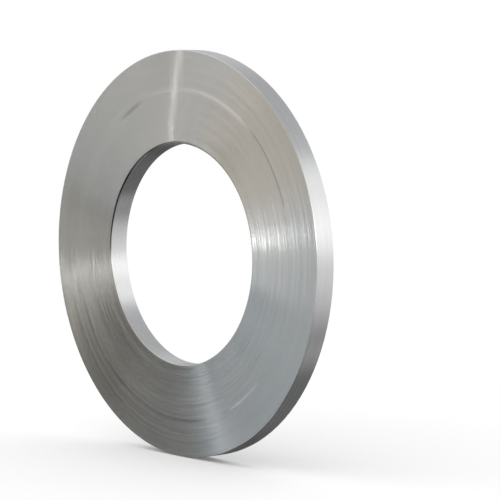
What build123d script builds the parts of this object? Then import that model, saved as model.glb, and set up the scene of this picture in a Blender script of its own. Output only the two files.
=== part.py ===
from build123d import *
from math import cos, radians, sin
import os

os.makedirs("parts", exist_ok=True)

# Driving dimensions in millimetres and degrees
bore_diameter = 508.0      # left by the mandrel it was wound on
outer_diameter = 934.0
strip_width = 47.0
strip_thickness = 1.0
first_winding_laps = 126   # laps wound before the strip was set over sideways
set_over = 1.4             # how far the later laps lie towards the back
wander = 0.3               # how far a pack of laps strays from its winding
usual_pack_laps = 21       # laps that lie together before the strip strays
gap_width = 1.4            # open line between two packs, on both ends
gap_depth = 1.2
bore_edge = 2.0            # broken edge at the bore, both ends
rim_edge = 0.9             # broken edge at the rim, both ends
tail_angle = 202.0         # where the outer end of the strip lies
tail_climb = 34.0          # arc over which the lap below rises again to the rim
lead_angle = 22.0          # where the inner end of the strip lies
lead_climb = 16.0          # arc over which the first lap lifts onto its own end

# Sizes worked out from those
bore_radius = bore_diameter / 2
rim_radius = outer_diameter / 2
set_over_radius = bore_radius + first_winding_laps * strip_thickness
axis_height = rim_radius   # the coil stands on its rim


def pack_edges(start, end):
    # Radii that part a winding into packs of uneven size
    count = max(1, round((end - start) / (usual_pack_laps * strip_thickness)))
    step = (end - start) / count
    inner = [start + step * (i + 0.28 * sin(2.4 * i)) for i in range(1, count)]
    return [start] + inner + [end]


first_edges = pack_edges(bore_radius, set_over_radius)
second_edges = pack_edges(set_over_radius, rim_radius)
pack_radii = first_edges + second_edges[1:]

# Sideways place of each pack, the first laps forward (-Y) and the later ones back
first_places = [-set_over / 2 - wander * cos(1.9 * i) for i in range(len(first_edges) - 1)]
second_places = [set_over / 2 + wander * cos(1.9 * i) for i in range(len(second_edges) - 1)]
pack_places = first_places + second_places[::-1]


def end_line(side):
    # One end of the coil from bore to rim, as points (radius, along the axis)
    flats = [side * strip_width / 2 + place for place in pack_places]
    points = [(bore_radius, flats[0] - side * bore_edge), (bore_radius + bore_edge, flats[0])]
    for i in range(1, len(flats)):
        deep = min(side * flats[i - 1], side * flats[i]) - gap_depth
        points.append((pack_radii[i] - gap_width / 2, flats[i - 1]))
        points.append((pack_radii[i], side * deep))
        points.append((pack_radii[i] + gap_width / 2, flats[i]))
    points.append((rim_radius - rim_edge, flats[-1]))
    points.append((rim_radius, flats[-1] - side * rim_edge))
    return points


def on_end(radius, angle):
    # A point of the view along the axis, as the front end shows it
    return (radius * cos(radians(angle)), radius * sin(radians(angle)))


# The wound coil, one turned solid round an axis along Y
with BuildPart() as strip_coil:
    with BuildSketch(Plane.XY.offset(axis_height)):
        with BuildLine():
            Polyline(*end_line(-1), *end_line(1)[::-1], close=True)
        make_face()
    revolve(axis=Axis((0, 0, axis_height), (0, 1, 0)))

    # Outer end of the strip: past it the rim is one strip thickness lower and rises again
    end_plane = Plane((0, 0, axis_height), x_dir=(1, 0, 0), z_dir=(0, -1, 0))
    with BuildSketch(end_plane):
        with BuildLine():
            low = on_end(rim_radius - strip_thickness, tail_angle)
            mid = on_end(rim_radius - strip_thickness / 2, tail_angle + tail_climb / 2)
            high = on_end(rim_radius, tail_angle + tail_climb)
            past = on_end(rim_radius + 3 * strip_thickness, tail_angle + tail_climb)
            clear = on_end(rim_radius + 3 * strip_thickness, tail_angle)
            over = on_end(rim_radius + 3 * strip_thickness, tail_angle + tail_climb / 2)
            ThreePointArc(low, mid, high)
            Line(high, past)
            ThreePointArc(past, over, clear)
            Line(clear, low)
        make_face()
    extrude(amount=strip_width, both=True, mode=Mode.SUBTRACT)

    # Inner end of the strip: before it the first lap lifts off the bore by one thickness
    with BuildSketch(end_plane):
        with BuildLine():
            high = on_end(bore_radius, lead_angle - lead_climb)
            mid = on_end(bore_radius + strip_thickness / 2, lead_angle - lead_climb / 2)
            low = on_end(bore_radius + strip_thickness, lead_angle)
            clear = on_end(bore_radius - 3 * strip_thickness, lead_angle)
            over = on_end(bore_radius - 3 * strip_thickness, lead_angle - lead_climb / 2)
            past = on_end(bore_radius - 3 * strip_thickness, lead_angle - lead_climb)
            ThreePointArc(high, mid, low)
            Line(low, clear)
            ThreePointArc(clear, over, past)
            Line(past, high)
        make_face()
    extrude(amount=strip_width, both=True, mode=Mode.SUBTRACT)

strip_coil.part.label = "strip_coil"
export_step(strip_coil.part, "parts/strip_coil.step")
print("laps", round((rim_radius - bore_radius) / strip_thickness))
print("volume mm3", round(strip_coil.part.volume))
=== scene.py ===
import bpy
import math
import numpy as np
from mathutils import Matrix, Vector


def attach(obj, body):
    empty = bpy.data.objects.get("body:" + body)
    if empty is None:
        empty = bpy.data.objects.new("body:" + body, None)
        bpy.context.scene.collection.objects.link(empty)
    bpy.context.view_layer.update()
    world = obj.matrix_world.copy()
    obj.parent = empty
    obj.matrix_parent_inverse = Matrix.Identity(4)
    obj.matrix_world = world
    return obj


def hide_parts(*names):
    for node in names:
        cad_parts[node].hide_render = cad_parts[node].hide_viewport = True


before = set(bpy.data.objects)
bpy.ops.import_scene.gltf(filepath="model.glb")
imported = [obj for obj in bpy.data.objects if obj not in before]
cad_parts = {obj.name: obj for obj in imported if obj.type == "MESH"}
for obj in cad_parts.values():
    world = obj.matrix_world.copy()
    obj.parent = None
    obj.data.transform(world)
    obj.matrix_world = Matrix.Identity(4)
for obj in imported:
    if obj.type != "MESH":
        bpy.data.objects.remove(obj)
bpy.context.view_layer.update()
scene = bpy.context.scene
scene.view_settings.view_transform = "Standard"

# the wound strip, in metres and degrees, the same sizes as the solid
stripCoil = {
    "boreRadius": 0.254,
    "rimRadius": 0.467,
    "stripWidth": 0.047,
    "leadAngle": 22.0,              # inner end of the strip
    "turns": 212.5,                 # so the outer end lies at 202 degrees
    "stepsPerTurn": 112,
    "faceRows": 6,                  # across the strip where its face shows
    "seed": 7,
    "setOverRadius": 0.380,         # where the strip was set over sideways
    "setOver": 0.0014,
    "setOverSpread": 0.0160,        # the set-over is spread over this much each way
    "packSpread": 0.0060,           # and the small steps between packs over this much
    "packWidth": 0.021,
    "packUneven": (0.28, 2.4),      # share by which packs differ, and its beat from pack to pack
    "wander": (0.00012, 1.9),       # how far packs stand in or out, and its beat
    "gapWidth": 0.0014,
    "gapDepth": 0.00008,            # the lines between packs, where they open most
    "gapLeast": 0.2,                # and the share of it where they open least
    "gapSwing": (0.5, 0.3, 0.2),    # how they open round the turn: all round, once round and twice round
    "lineEnd": 1.4,                 # open lines end this many half widths out, and are full one before that
    # where the set-over line is open: from, to, depth, width and distance from the line
    "openings": [(16, 49, 0.0012, 0.0024, 0.0003), (115, 122, 0.0009, 0.0018, -0.0151),
                 (114, 123, 0.0010, 0.0018, -0.0125), (113, 124, 0.0010, 0.0018, -0.0099),
                 (113, 124, 0.0010, 0.0018, -0.0073), (114, 123, 0.0010, 0.0018, -0.0047)],
    # the gap behind the first lap: from, to, soft ends, depth, and the laps it takes
    "boreOpening": (82, 172, 26, 0.0080, 1, 5),
    "boreEdge": 0.0020,
    "rimEdge": 0.0009,
    "tightest": (76, 170, 30, 0.88),    # from, to, soft ends, and the share by which laps stray less
    "lapStray": (0.00003, 0.31, 2.7),   # how far laps stand in or out, drifting over these turns
    "lapLean": (13.0, 6.6),         # slit edges lean outwards by this much at the bore and at the rim
    "leanStrays": [(0.43, 0.65), (3.7, 1.0)],   # turns over which it drifts, and by how much
    # where laps near the set-over line lean over: from, to, lean, distance from it and reach each way
    "shoulders": [(51, 106, 11.0, -0.0022, 0.0052), (228, 283, 13.0, 0.0024, 0.0036),
                  (295, 318, 14.0, 0.0016, 0.0036), (189, 213, -13.0, -0.0050, 0.0024),
                  (189, 213, 14.0, 0.0060, 0.0026)],
    # and over wide stretches: from, to, lean, radius and reach each way
    "wideLeans": [(44, 82, 3.6, 0.445, 0.040), (40, 65, -4.0, 0.275, 0.045),
                  (218, 258, 3.0, 0.425, 0.045), (278, 288, 5.0, 0.440, 0.030),
                  (302, 320, 3.0, 0.445, 0.030)],
    "wideSoft": 15,
    # the first laps roll into the bore and the last ones over the rim: lean, where it begins, and reach
    "boreRoll": (-82.0, 0.0030, 0.0028),
    "rimRoll": (34.0, 0.0024, 0.0022),
    "dropLimit": 0.037,             # lean that still lowers an edge, in radians
    "lapCrown": (18.0, 15.0),       # edges are rounded by this much each way at the bore and at the rim
    "crownStray": (0.57, 0.2),      # turns over which it drifts, and by how much
    "endTurn": 1.1,                 # the end turns about the upright by this much from its middle laps
    "endTurnShare": (0.7, 0.3),     # all round, and what the height adds
    "edgeWave": 1.0,                # edges turn along the lap, where they are wound least tightly
    # its drift, turns and amount: across, upright and both together
    "waveNoises": [(2.3, 1.0), (3.1, 1.0), (0.37, 0.7)],
    # what it gains near the set-over line: amount, distance from it and reach each way
    "waveHump": (0.55, -0.010, 0.045),
    # the share of it that shows: everywhere, and what stretches add: from, to, soft ends and share
    "waveLeast": 0.05,
    "waveShares": [(160, 215, 30, 0.60), (165, 275, 30, 0.40), (-20, 30, 20, 0.15)],
    "wallHeight": 0.0006,           # walls between laps: height at which they are steepest
    "wallTilt": (27.5, 80.0),       # tilt of the lowest and of the steepest
}

# places on the baked texture: laps side by side, the way round the coil upwards
bakeLayout = {
    "frontEnd": 0.0,
    "backEnd": 0.45,
    "endWidth": 0.44,
    "edgePart": 0.8,                # a lap's edge takes this much of its share, the wall beside it the rest
    "rim": 0.90,
    "bore": 0.95,
    "faceWidth": 0.04,
    "cutEnd": [(0.945, 0.0), (0.945, 0.01), (0.947, 0.01), (0.947, 0.0)],
}
edgeSlot, faceSlot = 0, 1


def packEdges(start, end):
    count = max(1, round((end - start) / stripCoil["packWidth"]))
    step = (end - start) / count
    share, beat = stripCoil["packUneven"]
    between = [start + step * (i + share * math.sin(beat * i)) for i in range(1, count)]
    return [start] + between + [end]


def sidewaysPlace(radius):
    # the packs' places along the axis, each step spread over a lap or more
    first = packEdges(stripCoil["boreRadius"], stripCoil["setOverRadius"])
    second = packEdges(stripCoil["setOverRadius"], stripCoil["rimRadius"])
    half = stripCoil["setOver"] / 2
    wander, beat = stripCoil["wander"]
    places = [-half - wander * math.cos(beat * i) for i in range(len(first) - 1)]
    places += [half + wander * math.cos(beat * i) for i in range(len(second) - 1)][::-1]
    edges = (first + second[1:])[1:-1]
    xs, ys = [], []
    for i, edge in enumerate(edges):
        spread = stripCoil["setOverSpread"] if i == len(first) - 2 else stripCoil["packSpread"]
        xs += [edge - spread, edge + spread]
        ys += [places[i], places[i + 1]]
    return np.interp(radius, xs, ys), np.array(edges)


def slowNoise(rng, turns, spacing, amount):
    # a value that drifts along the strip, with its own course on every lap
    nodes = np.arange(0, turns.max() + 2 * spacing, spacing)
    values = rng.normal(0, amount, len(nodes))
    place = turns / spacing
    low = np.floor(place).astype(int)
    part = place - low
    part = part * part * (3 - 2 * part)     # eased from one value to the next
    return values[low] * (1 - part) + values[low + 1] * part


def angularWindow(angle, start, end, soft=6):
    # 1 between two directions round the coil, with soft ends
    off = np.abs((np.degrees(angle) - (start + end) / 2 + 180) % 360 - 180)
    return np.clip(((end - start) / 2 - off) / soft + 0.5, 0, 1)


def nearPlace(off, reach):
    # 1 at a place, fading on both sides
    return np.exp(-(off / reach) ** 2)


def onLine(off, width):
    # 1 along the middle of an open line, falling to 0 beside it
    return np.clip(stripCoil["lineEnd"] - np.abs(off) * 2 / width, 0, 1)


def openingDepth(rng, radius, angle, edges, loose):
    # how far the lap edges lie back in the open lines between packs
    sunk = np.zeros(len(radius))
    for edge in edges:
        a, b = rng.uniform(0, 2 * math.pi, 2)
        if np.isclose(edge, stripCoil["setOverRadius"]):
            for start, end, depth, width, off in stripCoil["openings"]:
                near = onLine(radius - edge - off, width)
                sunk = np.maximum(sunk, depth * near * angularWindow(angle, start, end))
        else:
            allRound, once, twice = stripCoil["gapSwing"]
            swing = allRound + once * np.cos(angle + a) + twice * np.cos(2 * angle + b)
            share = stripCoil["gapLeast"] + (1 - stripCoil["gapLeast"]) * swing ** 2
            near = onLine(radius - edge, stripCoil["gapWidth"])
            sunk = np.maximum(sunk, stripCoil["gapDepth"] * share * near * loose)
    return sunk


def edgeDepth(rng, turns, radius, angle, edges, loose):
    # how far each lap edge lies back: open lines, and the broken edges at bore and rim
    sunk = openingDepth(rng, radius, angle, edges, loose)
    start, end, soft, depth, low, high = stripCoil["boreOpening"]
    behind = (turns >= low) & (turns < high)
    sunk = np.maximum(sunk, depth * angularWindow(angle, start, end, soft) * behind)
    sunk = np.maximum(sunk, stripCoil["boreRadius"] + stripCoil["boreEdge"] - radius)
    return np.maximum(sunk, radius - stripCoil["rimRadius"] + stripCoil["rimEdge"])


def edgeLean(rng, turns, radius, angle, loose):
    # how far each lap edge leans outwards
    bore, rim = stripCoil["boreRadius"], stripCoil["rimRadius"]
    lean = np.interp(radius, [bore, rim], stripCoil["lapLean"])
    for spacing, amount in stripCoil["leanStrays"]:
        lean = lean + loose * slowNoise(rng, turns, spacing, amount)
    for start, end, amount, off, reach in stripCoil["shoulders"]:
        near = nearPlace(radius - stripCoil["setOverRadius"] - off, reach)
        lean = lean + amount * angularWindow(angle, start, end) * near
    for start, end, amount, place, reach in stripCoil["wideLeans"]:
        near = nearPlace(radius - place, reach)
        lean = lean + amount * angularWindow(angle, start, end, stripCoil["wideSoft"]) * near
    amount, begin, reach = stripCoil["boreRoll"]
    lean = lean + amount * np.clip((bore + begin - radius) / reach, 0, 1)
    amount, begin, reach = stripCoil["rimRoll"]
    lean = lean + amount * np.clip((radius - rim + begin) / reach, 0, 1)
    return np.radians(lean)


def edgeWave(rng, turns, radius, angle):
    # how far each lap edge turns along the lap
    share = stripCoil["waveLeast"]
    for start, end, soft, amount in stripCoil["waveShares"]:
        share = share + amount * angularWindow(angle, start, end, soft)
    across, upright, together = stripCoil["waveNoises"]
    wave = slowNoise(rng, turns, *across) * np.cos(angle) + slowNoise(rng, turns, *upright) * np.sin(angle)
    amount, off, reach = stripCoil["waveHump"]
    wave = wave + amount * nearPlace(radius - stripCoil["setOverRadius"] - off, reach)
    return (wave + slowNoise(rng, turns, *together)) * share * math.radians(stripCoil["edgeWave"])


def addObject(name, mesh):
    obj = bpy.data.objects.new(name, mesh)
    scene.collection.objects.link(obj)
    return obj


def meshFrom(co, faces, normals, uvs, slots):
    mesh = bpy.data.meshes.new("stripCoil")
    mesh.vertices.add(len(co))
    mesh.vertices.foreach_set("co", co.astype(np.float32).ravel())
    mesh.loops.add(faces.size)
    mesh.loops.foreach_set("vertex_index", faces.astype(np.int32).ravel())
    mesh.polygons.add(len(faces))
    mesh.polygons.foreach_set("loop_start", (np.arange(len(faces)) * 4).astype(np.int32))
    mesh.polygons.foreach_set("material_index", slots.astype(np.int32))
    mesh.update(calc_edges=True)
    layer = mesh.uv_layers.new(name="OFBake")
    layer.uv.foreach_set("vector", uvs.reshape(-1, 2).astype(np.float32).ravel())
    mesh.polygons.foreach_set("use_smooth", np.ones(len(faces), bool))
    mesh.normals_split_custom_set(normals.reshape(-1, 3))
    mesh.validate(clean_customdata=False)
    return mesh


def makeStripCoil():
    rng = np.random.default_rng(stripCoil["seed"])
    steps, rows = stripCoil["stepsPerTurn"], stripCoil["faceRows"]
    bore, rim = stripCoil["boreRadius"], stripCoil["rimRadius"]
    last = round(stripCoil["turns"] * steps)
    count = last + 1
    k = np.arange(count)
    turns = k / steps
    angle = math.radians(stripCoil["leadAngle"]) + 2 * math.pi * turns
    cosA, sinA = np.cos(angle), np.sin(angle)
    pitch = (rim - bore) / (stripCoil["turns"] + 1)
    inner = bore + pitch * turns
    outer = inner + pitch
    middle = inner + pitch / 2
    along, edges = sidewaysPlace(middle)
    step = sidewaysPlace(outer + pitch / 2)[0] - along      # to the next lap
    start, end, soft, share = stripCoil["tightest"]
    loose = 1 - share * angularWindow(angle, start, end, soft)
    stray, near, far = stripCoil["lapStray"]
    along = along + loose * (slowNoise(rng, turns, near, stray) + slowNoise(rng, turns, far, stray))
    sunk = edgeDepth(rng, turns, middle, angle, edges, loose)
    lean = edgeLean(rng, turns, middle, angle, loose)
    crown = np.radians(np.interp(middle, [bore, rim], stripCoil["lapCrown"]))
    crown = crown * np.exp(loose * slowNoise(rng, turns, *stripCoil["crownStray"]))
    wave = edgeWave(rng, turns, middle, angle)
    half, limit = stripCoil["stripWidth"] / 2, stripCoil["dropLimit"]
    drop = pitch * np.tan(np.clip(lean, -limit, limit))     # a leaning edge is lower on its outer side

    def points(radius, y):
        return np.stack([radius * cosA, y, rim + radius * sinA], 1)

    frontIn = points(inner, -half + along + sunk)
    frontOut = points(outer, -half + along + step + sunk + drop)
    backIn = points(inner, half + along - sunk)
    backOut = points(outer, half + along + step - sunk - drop)
    verts = [frontIn, frontOut, backIn, backOut]
    fi, fo, bi, bo = (np.arange(count) + i * count for i in range(len(verts)))
    base = len(verts) * count

    def wallRows(front, back, frontIds, backIds):
        # rows between the two edges of a lap, for the rim and for the bore
        nonlocal base
        out = [frontIds]
        for row in range(1, rows):
            part = row / rows
            verts.append(front * (1 - part) + back * part)
            out.append(base + np.arange(len(front)))
            base += len(front)
        return out + [backIds]

    rimIds = np.arange(last - steps, last + 1)
    boreIds = np.arange(0, steps + 1)
    rimRows = wallRows(frontOut[rimIds], backOut[rimIds], fo[rimIds], bo[rimIds])
    boreRows = wallRows(frontIn[boreIds], backIn[boreIds], fi[boreIds], bi[boreIds])
    co = np.concatenate(verts)

    quads, normals, uvs, slots = [], [], [], []
    radial = np.stack([cosA, np.zeros(count), sinA], 1)
    allRound, byHeight = stripCoil["endTurnShare"]
    endTurn = np.interp(middle, [bore, rim], [1, -1]) * math.radians(stripCoil["endTurn"])
    endTurn = endTurn * (allRound + byHeight * sinA)
    sideways = np.stack([endTurn - wave * sinA, np.zeros(count), wave * cosA], 1)

    def leaned(axis, amount, ids):
        upright = axis[None] * np.cos(amount)[:, None]
        return upright + radial[ids] * np.sin(amount)[:, None] - axis[1] * sideways[ids]

    def addQuads(corner, slot, flip=False, turned=None):
        # each corner has its points, normals and texture places; turned quads are cut the other way
        if flip:
            corner = corner[::-1]
        for found, i in ((quads, 0), (normals, 1), (uvs, 2)):
            group = np.stack([c[i] for c in corner], 1)
            if turned is not None:
                group[turned] = np.roll(group[turned], 1, axis=1)
            found.append(group)
        slots.append(np.full(len(corner[0][0]), slot))

    def addEnd(axis, e0, e1, flip, u0):
        lapShare, edgePart = 1.0 / (stripCoil["turns"] + 1), bakeLayout["edgePart"]

        def uv(ids, part, v):
            return np.stack([u0 + bakeLayout["endWidth"] * ((turns[ids] + part) * lapShare), v], 1)

        a, b = k[:-1], k[1:]
        v0 = (a % steps) / steps
        v1 = v0 + 1.0 / steps
        n0, n1 = leaned(axis, lean - crown, k), leaned(axis, lean + crown, k)
        corner = [(e0[a], n0[a], uv(a, 0, v0)), (e1[a], n1[a], uv(a, edgePart, v0)),
                  (e1[b], n1[b], uv(a, edgePart, v1)), (e0[b], n0[b], uv(a, 0, v1))]
        otherLap = np.floor(turns[a]) % 2 > 0
        addQuads(corner, edgeSlot, flip, otherLap)
        # the small walls between one lap's edge and the next
        a, b = a[:last - steps], b[:last - steps]
        v0, v1 = v0[:last - steps], v1[:last - steps]
        up = (co[e1[a], 1] - co[e0[a + steps], 1]) * axis[1]
        tilt = np.radians(np.interp(np.abs(up), [0, stripCoil["wallHeight"]], stripCoil["wallTilt"]))
        tilt = np.where(up > 0, tilt, -tilt)
        nA, nB = leaned(axis, tilt, a), leaned(axis, tilt, b)
        corner = [(e1[a], nA, uv(a, edgePart, v0)), (e0[a + steps], nA, uv(a, 1.0, v0)),
                  (e0[b + steps], nB, uv(a, 1.0, v1)), (e1[b], nB, uv(a, edgePart, v1))]
        addQuads(corner, edgeSlot, flip)

    def addFace(rowIds, ids, sign, u0):
        lo, hi = np.arange(len(ids) - 1), np.arange(1, len(ids))
        n = radial[ids] * sign
        v0 = lo / steps
        v1 = v0 + 1 / steps

        def uv(row, v):
            return np.stack([np.full(len(lo), u0 + bakeLayout["faceWidth"] * row / rows), v], 1)

        for row in range(rows):
            p, q = rowIds[row], rowIds[row + 1]
            corner = [(p[lo], n[lo], uv(row, v0)), (q[lo], n[lo], uv(row + 1, v0)),
                      (q[hi], n[hi], uv(row + 1, v1)), (p[hi], n[hi], uv(row, v1))]
            addQuads(corner, faceSlot, sign < 0)

    def addCutEnd(rowIds, here, there, at, sign):
        n = np.array([[-sinA[at], 0.0, cosA[at]]]) * sign
        for row in range(rows):
            p, q = rowIds[row], rowIds[row + 1]
            ids = (p[here], q[here], q[there], p[there])
            corner = [(np.array([c]), n, np.array([uv])) for c, uv in zip(ids, bakeLayout["cutEnd"])]
            addQuads(corner, faceSlot)

    addEnd(np.array([0.0, -1.0, 0.0]), fi, fo, False, bakeLayout["frontEnd"])
    addEnd(np.array([0.0, 1.0, 0.0]), bi, bo, True, bakeLayout["backEnd"])
    addFace(rimRows, rimIds, 1.0, bakeLayout["rim"])
    addFace(boreRows, boreIds, -1.0, bakeLayout["bore"])
    addCutEnd(rimRows, -1, 0, last, 1.0)
    addCutEnd(boreRows, 0, -1, 0, -1.0)
    mesh = meshFrom(co, *(np.concatenate(group) for group in (quads, normals, uvs, slots)))
    print("strip coil:", len(mesh.polygons), "faces,", len(mesh.polygons) * 2, "triangles")
    return addObject("strip_coil_wound", mesh)


def newMaterial(name):
    mat = bpy.data.materials.new(name)
    mat.use_nodes = True
    nodes = mat.node_tree.nodes
    nodes.clear()
    out = nodes.new("ShaderNodeOutputMaterial")
    return mat, nodes, mat.node_tree.links, out


def mathNode(nodes, links, operation, *values):
    node = nodes.new("ShaderNodeMath")
    node.operation = operation
    for i, value in enumerate(values):
        if isinstance(value, (int, float)):
            node.inputs[i].default_value = value
        else:
            links.new(value, node.inputs[i])
    return node.outputs[0]


def vectorNode(nodes, links, operation, value):
    node = nodes.new("ShaderNodeVectorMath")
    node.operation = operation
    links.new(value, node.inputs[0])
    return node


def splitNode(nodes, links, value):
    node = nodes.new("ShaderNodeSeparateXYZ")
    links.new(value, node.inputs[0])
    return node.outputs


def rangeNode(nodes, links, value, fromMin, fromMax, toMin, toMax, kind="LINEAR"):
    node = nodes.new("ShaderNodeMapRange")
    node.interpolation_type = kind
    links.new(value, node.inputs["Value"])
    for name, number in zip(("From Min", "From Max", "To Min", "To Max"), (fromMin, fromMax, toMin, toMax)):
        node.inputs[name].default_value = number
    return node.outputs["Result"]


def noiseNode(nodes, links, place, scale, detail):
    noise = nodes.new("ShaderNodeTexNoise")
    noise.inputs["Scale"].default_value = scale
    noise.inputs["Detail"].default_value = detail
    links.new(place, noise.inputs["Vector"])
    return noise.outputs["Fac"]


def blendOf(nodes, links, a, b, share):
    first = mathNode(nodes, links, "MULTIPLY", a, 1 - share)
    second = mathNode(nodes, links, "MULTIPLY", b, share)
    return mathNode(nodes, links, "ADD", first, second)


def mixInto(nodes, links, out, share, first, second):
    mix = nodes.new("ShaderNodeMixShader")
    links.new(share, mix.inputs[0])
    links.new(first.outputs[0], mix.inputs[1])
    links.new(second.outputs[0], mix.inputs[2])
    links.new(mix.outputs[0], out.inputs[0])


def polarCoords(nodes, links):
    # distance from the coil's axis, the direction round it, and the place along it
    coord = nodes.new("ShaderNodeTexCoord")
    shift = vectorNode(nodes, links, "SUBTRACT", coord.outputs["Object"])
    shift.inputs[1].default_value = (0, 0, stripCoil["rimRadius"])
    part = splitNode(nodes, links, shift.outputs[0])
    flat = nodes.new("ShaderNodeCombineXYZ")
    links.new(part[0], flat.inputs[0])
    links.new(part[2], flat.inputs[1])
    length = vectorNode(nodes, links, "LENGTH", flat.outputs[0])
    unit = vectorNode(nodes, links, "NORMALIZE", flat.outputs[0])
    split = splitNode(nodes, links, unit.outputs[0])
    return {"object": coord.outputs["Object"], "radius": length.outputs["Value"], "axial": part[1],
            "cosA": split[0], "sinA": split[1]}


def streaks(nodes, links, place, across, width, reach, detail, seed):
    # noise drawn out round the coil: width across a streak in metres, reach its hold round the turn
    join = nodes.new("ShaderNodeCombineXYZ")
    links.new(mathNode(nodes, links, "MULTIPLY", place[across], 1.0 / width), join.inputs[0])
    links.new(mathNode(nodes, links, "MULTIPLY_ADD", place["cosA"], reach, seed), join.inputs[1])
    links.new(mathNode(nodes, links, "MULTIPLY", place["sinA"], reach), join.inputs[2])
    return noiseNode(nodes, links, join.outputs[0], 1.0, detail)


def brushedMetal(name, finish, toneOf):
    # metal whose fine lines run round the coil
    mat, nodes, links, out = newMaterial(name)
    place = polarCoords(nodes, links)
    ramp = nodes.new("ShaderNodeValToRGB")
    for element, at, tone in zip(ramp.color_ramp.elements, finish["toneSpan"], ("dark", "light")):
        element.position = at
        element.color = (*finish[tone], 1)
    links.new(toneOf(nodes, links, place, finish), ramp.inputs[0])
    shader = nodes.new("ShaderNodeBsdfPrincipled")
    shader.inputs["Metallic"].default_value = 1.0
    shader.inputs["Anisotropic"].default_value = finish["anisotropy"]
    links.new(ramp.outputs[0], shader.inputs["Base Color"])
    roughLines = streaks(nodes, links, place, finish["linesAcross"], *finish["roughLines"])
    rough = rangeNode(nodes, links, roughLines, *finish["roughSpan"], *finish["rough"])
    links.new(rough, shader.inputs["Roughness"])
    tangent = nodes.new("ShaderNodeTangent")
    tangent.direction_type = "UV_MAP"
    tangent.uv_map = "OFBake"
    links.new(tangent.outputs[0], shader.inputs["Tangent"])
    links.new(shader.outputs[0], out.inputs[0])
    return mat


# lines are given by width, reach, detail and seed; spans are the noise that goes from one end to the other
lapEdgeFinish = {
    "linesAcross": "radius",
    "dark": (0.441, 0.442, 0.435),
    "light": (0.460, 0.462, 0.456),
    "toneSpan": (0.32, 0.68),
    "fineLines": (0.0016, 2.5, 2.0, 3.0),
    "bands": (0.009, 0.9, 1.0, 11.0),
    "bandShare": 0.4,
    "rough": (0.13, 0.18),
    "roughSpan": (0.3, 0.7),
    "roughLines": (0.0022, 1.7, 2.0, 23.0),
    "anisotropy": 1.0,
}


def lapEdgeTone(nodes, links, place, finish):
    fine = streaks(nodes, links, place, finish["linesAcross"], *finish["fineLines"])
    band = streaks(nodes, links, place, finish["linesAcross"], *finish["bands"])
    return blendOf(nodes, links, fine, band, finish["bandShare"])


stripFaceFinish = {
    "linesAcross": "axial",
    "dark": (0.79, 0.795, 0.80),
    "light": (0.88, 0.88, 0.88),
    "toneSpan": (0.32, 0.68),
    "fineLines": (0.0011, 1.6, 3.0, 5.0),
    "cloud": (14.0, 3.0),           # scale and detail
    "cloudShare": 0.4,
    "rough": (0.21, 0.30),
    "roughSpan": (0.3, 0.7),
    "roughLines": (0.0014, 1.2, 2.0, 17.0),
    "anisotropy": 0.6,
}


def stripFaceTone(nodes, links, place, finish):
    fine = streaks(nodes, links, place, finish["linesAcross"], *finish["fineLines"])
    cloud = noiseNode(nodes, links, place["object"], *finish["cloud"])
    return blendOf(nodes, links, fine, cloud, finish["cloudShare"])


coil = makeStripCoil()
coil.data.materials.append(brushedMetal("slitLapEdges", lapEdgeFinish, lapEdgeTone))
coil.data.materials.append(brushedMetal("millStripFace", stripFaceFinish, stripFaceTone))
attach(coil, "root")
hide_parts("strip_coil")
print("strip coil dressed")

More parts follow.
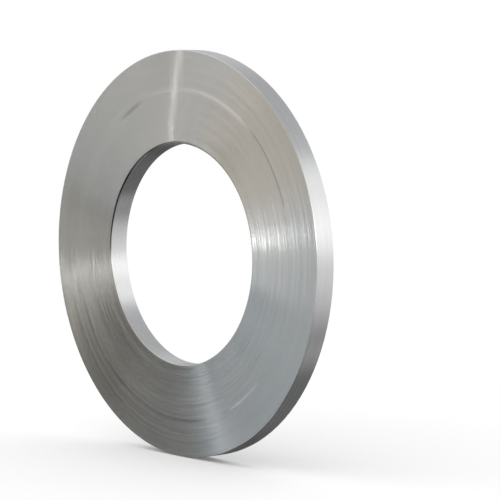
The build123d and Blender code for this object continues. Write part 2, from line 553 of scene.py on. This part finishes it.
# floor, light and camera; azimuth 0 is in front of the coil, 90 on its right and -90 on its left
studio = {
    "floorColor": (0.93, 0.93, 0.93),
    "floorRadius": 4.0,
    "floorSides": 96,
    "floorFade": (1.0, 3.6),        # distance where it begins to thin out, and where it is gone
    "floorHeight": -0.0002,
    "ambient": 1.08,
    "middle": (0, 0, 0.467),
    "cameraPlace": (4.1351, -3.3997, 0.8967),
    "cameraAim": (0.0910, 0.1118, 0.4756),
    "lens": 168.3,
    "sensor": 36.0,
    "viewEnd": 200.0,
    "lowCardRadius": 2000.0,
    "lowCardHeight": -40.0,
    "lowCardLevel": 0.08,
    "cardDistance": 24.0,
    "cardStep": 0.4,                # each card stands this much nearer than the one before
    # soft cards and boxes seen in the metal, the far ones first: azimuth, elevation, half width and
    # half height in degrees, lean to the side, level, color, share over which it fades, lights the floor
    "cards": {
        "highBackCard": (188, 54, 42, 26, 0, 0.41, (0.98, 1, 1.02), 0.5, False),
        "leftBackCard": (-136, 24, 26, 20, 0, 0.54, (0.98, 1, 1.02), 0.5, False),
        "leftBackLow": (-130, 0, 20, 15, 0, 0.34, (0.98, 1, 1.02), 0.5, False),
        "leftBackUnder": (-111, -38, 17, 15, 0, 0.95, (0.98, 1, 1.02), 0.9, False),
        "backMid": (-170, -12, 25, 17, 0, 0.55, (0.98, 1, 1.02), 0.9, False),
        "backLow": (174, -46, 36, 12, 0, 0.15, (1, 1, 1), 0.6, False),
        "rightBackUnder": (146, -39, 15, 11, 0, 0.40, (1, 1, 1), 0.9, False),
        "rightBackLow": (131, 0, 40, 46, 0, 0.80, (1, 1, 1), 1.0, False),
        "rightBackBox": (131, 11, 16, 16, 0, 1.25, (1, 1, 1), 0.9, False),
        "warmCard": (-12, 26, 32, 24, 0, 1.02, (1.09, 1, 0.88), 0.3, False),
        "upperLeft": (-64, 18, 18, 18, 0, 1.05, (1.02, 1, 0.96), 0.5, False),
        "leftMid": (-46, 5, 14, 7, 0, 0.52, (0.99, 1, 0.98), 0.6, False),
        "leftMidCore": (-50, 7, 4.2, 13, 0, 0.92, (1.02, 1, 0.96), 1.0, False),
        "leftHorizon": (-82, -5.4, 50, 7.4, 0, 0.64, (1.06, 1, 0.89), 0.55, False),
        "leftLow": (-80, -31, 22, 16, 0, 0.30, (0.95, 1, 0.99), 0.7, False),
        "frontLow": (-20, -16, 28, 24, 0, 0.83, (0.90, 1, 1.08), 0.5, False),
        "rightLow": (4, -7, 34, 13, 0, 1.45, (0.99, 1, 1.0), 0.6, False),
        "farRightLow": (78, -14, 30, 26, 0, 0.62, (1, 1, 1), 0.8, False),
        "nearLow": (-24, -56, 16, 15, 0, 1.6, (0.96, 1, 1.05), 0.6, False),
        "lowBandSide": (-47.0, -28, 12, 22, 0, 0.88, (0.92, 1, 1.08), 1.0, False),
        "lowBand": (-48.0, -28, 2.8, 22, 0, 1.05, (0.92, 1, 1.08), 0.7, False),
        "highLeftBox": (-52, 47, 27, 7, 0, 2.2, (1, 1, 1), 0.3, True),
        "frontHalo": (20, 9, 26, 16, 0, 4.2, (1, 0.99, 0.97), 0.9, False),
        "frontBox": (17, 4.4, 24, 4.9, 0, 8.3, (1, 0.99, 0.97), 0.8, False),
        "leftStrip": (-56.5, 19.2, 0.44, 4.4, 32, 7.6, (1, 1, 1), 0.4, False),
    },
}


def makeFloor():
    mesh = bpy.data.meshes.new("floor")
    sides, reach = studio["floorSides"], studio["floorRadius"]
    turns = [2 * math.pi * i / sides for i in range(sides)]
    ring = [(reach * math.cos(turn), reach * math.sin(turn), studio["floorHeight"]) for turn in turns]
    mesh.from_pydata(ring, [], [list(range(sides))])
    floor = addObject("floor", mesh)
    mat, nodes, links, out = newMaterial("paleFloor")
    coord = nodes.new("ShaderNodeTexCoord")
    length = vectorNode(nodes, links, "LENGTH", coord.outputs["Object"])
    fade = rangeNode(nodes, links, length.outputs["Value"], *studio["floorFade"], 0.0, 1.0)
    diffuse = nodes.new("ShaderNodeBsdfDiffuse")
    diffuse.inputs["Color"].default_value = (*studio["floorColor"], 1)
    clear = nodes.new("ShaderNodeBsdfTransparent")
    mixInto(nodes, links, out, fade, diffuse, clear)
    mesh.materials.append(mat)
    floor.visible_glossy = False            # the metal shows the cards in its place
    floor.visible_shadow = False


def makeWorld():
    world = bpy.data.worlds.new("studio")
    scene.world = world
    world.use_nodes = True
    nodes, links = world.node_tree.nodes, world.node_tree.links
    nodes.clear()
    out = nodes.new("ShaderNodeOutputWorld")
    path = nodes.new("ShaderNodeLightPath")
    seen = mathNode(nodes, links, "MAXIMUM", path.outputs["Is Camera Ray"], path.outputs["Is Glossy Ray"])
    seen = mathNode(nodes, links, "MAXIMUM", seen, path.outputs["Is Transmission Ray"])
    back = nodes.new("ShaderNodeBackground")
    back.inputs["Color"].default_value = (1, 1, 1, 1)
    links.new(rangeNode(nodes, links, seen, 0, 1, studio["ambient"], 1.0), back.inputs["Strength"])
    links.new(back.outputs[0], out.inputs[0])


def hideFromCamera(obj, lightsFloor):
    obj.visible_camera = False
    obj.visible_transmission = False
    obj.visible_volume_scatter = False
    obj.visible_shadow = False
    obj.visible_diffuse = lightsFloor


def squareMesh(name, reach, height):
    mesh = bpy.data.meshes.new(name)
    corners = ((-reach, -reach), (reach, -reach), (reach, reach), (-reach, reach))
    mesh.from_pydata([(x, y, height) for x, y in corners], [], [[0, 1, 2, 3]])
    return mesh


def makeCard(name, distance, azimuth, elevation, halfWidth, halfHeight, sideLean,
             level, color, fade, lightsFloor):
    # a card that faces the coil and thins out to nothing at its sides
    a, e = math.radians(azimuth), math.radians(elevation)
    outward = Vector((math.sin(a) * math.cos(e), -math.cos(a) * math.cos(e), math.sin(e)))
    x = Vector((0, 0, 1)).cross(outward).normalized()
    y = outward.cross(x)
    turn = math.radians(sideLean)
    x, y = x * math.cos(turn) + y * math.sin(turn), y * math.cos(turn) - x * math.sin(turn)
    x = x * distance * math.tan(math.radians(halfWidth))
    y = y * distance * math.tan(math.radians(halfHeight))
    place = Vector(studio["middle"]) + outward * distance
    mesh = squareMesh(name, 1, 0)
    mat, nodes, links, out = newMaterial(name)
    coord = nodes.new("ShaderNodeTexCoord")
    part = splitNode(nodes, links, coord.outputs["Object"])
    shares = []
    for i in range(2):
        off = mathNode(nodes, links, "ABSOLUTE", part[i])
        shares.append(rangeNode(nodes, links, off, 1 - fade, 1, 1, 0, "SMOOTHSTEP"))
    glow = nodes.new("ShaderNodeEmission")
    glow.inputs["Color"].default_value = (*color, 1)
    glow.inputs["Strength"].default_value = level
    clear = nodes.new("ShaderNodeBsdfTransparent")
    mixInto(nodes, links, out, mathNode(nodes, links, "MULTIPLY", *shares), clear, glow)
    mesh.materials.append(mat)
    obj = addObject(name, mesh)
    obj.matrix_world = Matrix(((x.x, y.x, outward.x, place.x), (x.y, y.y, outward.y, place.y),
                               (x.z, y.z, outward.z, place.z), (0, 0, 0, 1)))
    hideFromCamera(obj, lightsFloor)


def makeLowCard():
    # the dark lower half that the metal shows
    mesh = squareMesh("lowCard", studio["lowCardRadius"], studio["lowCardHeight"])
    mat, nodes, links, out = newMaterial("lowCard")
    glow = nodes.new("ShaderNodeEmission")
    glow.inputs["Strength"].default_value = studio["lowCardLevel"]
    links.new(glow.outputs[0], out.inputs[0])
    mesh.materials.append(mat)
    hideFromCamera(addObject("lowCard", mesh), False)


def makeCamera():
    data = bpy.data.cameras.new("camera")
    data.lens = studio["lens"]
    data.sensor_width = studio["sensor"]
    data.sensor_fit = "HORIZONTAL"
    data.clip_end = studio["viewEnd"]
    camera = addObject("camera", data)
    camera.location = studio["cameraPlace"]
    camera.rotation_mode = "QUATERNION"
    toAim = Vector(studio["cameraAim"]) - Vector(studio["cameraPlace"])
    camera.rotation_quaternion = toAim.to_track_quat("-Z", "Y")
    scene.camera = camera


makeFloor()
makeWorld()
for i, (name, settings) in enumerate(studio["cards"].items()):
    makeCard(name, studio["cardDistance"] - studio["cardStep"] * i, *settings)
makeLowCard()
makeCamera()
print("studio set")
